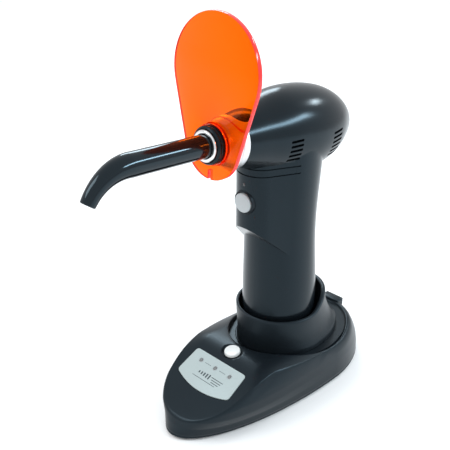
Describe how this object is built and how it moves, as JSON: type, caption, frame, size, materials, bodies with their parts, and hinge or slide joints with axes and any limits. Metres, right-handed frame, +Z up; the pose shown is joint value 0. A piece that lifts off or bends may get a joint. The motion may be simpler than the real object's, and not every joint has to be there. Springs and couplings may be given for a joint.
{
  "type": "curing light",
  "caption": "Cordless gun-shaped dental curing light with a bent light guide and an orange eye shield, standing in its charging base.",
  "frame": {"origin": "middle of the footprint on the plane the feet stand on", "axes": "+Z up, -Y towards the front: the light guide and the label point to -Y"},
  "size_m": [0.0748, 0.2156, 0.2469],
  "materials": {
    "housing_black": "polished black moulding with a cool reflection",
    "base_black": "satin to gloss black moulding",
    "trim_black": "fine matt black moulding",
    "guide_black": "glossy black jacket over glass fibre",
    "collar_aluminium": "fine turned aluminium",
    "steel": "bright turned stainless steel",
    "shield_orange": "clear orange acrylic with glowing cut edges",
    "label_silver": "silver-white printed overlay",
    "button_grey": "smooth silver-grey",
    "white_plastic": "white translucent",
    "rubber_black": "matt",
    "circuit_green": "green solder mask",
    "contact_brass": "plated",
    "clear_glass": "clear polished",
    "battery_blue": "shrink sleeve"
  },
  "bodies": {
    "base": {"base_housing": "base_black", "base_bottom_cover": "base_black", "base_screw_1": "steel", "base_screw_2": "steel", "base_screw_3": "steel", "base_screw_4": "steel", "rubber_foot_1": "rubber_black", "rubber_foot_2": "rubber_black", "rubber_foot_3": "rubber_black", "rubber_foot_4": "rubber_black", "cradle_cup": "base_black", "contact_block": "white_plastic", "base_circuit_board": "circuit_green", "indicator_lens_1": "white_plastic", "indicator_lens_2": "white_plastic", "indicator_lens_3": "white_plastic", "label_plate": "label_silver", "sensor_window": "white_plastic", "light_sensor": "trim_black", "dc_inlet": "trim_black"},
    "charge_pin_1": {"contact_pin_1": "contact_brass"},
    "charge_pin_2": {"contact_pin_2": "contact_brass"},
    "handpiece": {"housing_right": "housing_black", "housing_left": "housing_black", "housing_screw_1": "steel", "housing_screw_2": "steel", "housing_screw_3": "steel", "housing_screw_4": "steel", "trigger_bezel": "trim_black", "status_lens": "white_plastic", "driver_board": "circuit_green", "trigger_switch": "trim_black", "battery_cell": "battery_blue", "battery_holder": "trim_black", "handle_end_cap": "trim_black", "handle_contact_1": "contact_brass", "handle_contact_2": "contact_brass", "led_module": "white_plastic", "led_lens": "clear_glass", "heat_sink": "collar_aluminium", "fan_frame": "trim_black", "nose_collar": "collar_aluminium", "nose_ring": "housing_black"},
    "fan": {"fan_rotor": "trim_black"},
    "trigger": {"trigger_button": "button_grey"},
    "guide_clip": {"guide_clip_ring": "steel"},
    "light_guide": {"guide_ferrule": "steel", "guide_sheath": "guide_black", "guide_core": "clear_glass"},
    "shield": {"light_shield": "shield_orange"}
  },
  "joints": [
    {"name": "handpiece_lift", "type": "slide", "parent": "base", "child": "handpiece", "axis": [0, 0, 1], "range_m": [0, 0.12]},
    {"name": "shield_turn", "type": "hinge", "parent": "handpiece", "child": "shield", "pos_m": [0, 0.0365, 0.17324], "axis": [0, -0.997, 0.0774], "continuous": true},
    {"name": "guide_swivel", "type": "hinge", "parent": "handpiece", "child": "guide_clip", "pos_m": [0, 0.0365, 0.17324], "axis": [0, -0.997, 0.0774], "continuous": true},
    {"name": "guide_pull", "type": "slide", "parent": "guide_clip", "child": "light_guide", "axis": [0, -0.997, 0.0774], "range_m": [0, 0.03]},
    {"name": "trigger_press", "type": "slide", "parent": "handpiece", "child": "trigger", "axis": [0, 1, 0], "range_m": [0, 0.0012], "stiffness_N_per_m": 800, "springref_m": -0.0005},
    {"name": "fan_spin", "type": "hinge", "parent": "handpiece", "child": "fan", "pos_m": [0, 0.0365, 0.17324], "axis": [0, -0.997, 0.0774], "continuous": true},
    {"name": "charge_pin_1_press", "type": "slide", "parent": "base", "child": "charge_pin_1", "axis": [0, 0, 1], "range_m": [-0.001, 0], "stiffness_N_per_m": 400, "springref_m": 0.0005},
    {"name": "charge_pin_2_press", "type": "slide", "parent": "base", "child": "charge_pin_2", "axis": [0, 0, 1], "range_m": [-0.001, 0], "stiffness_N_per_m": 400, "springref_m": 0.0005}
  ]
}
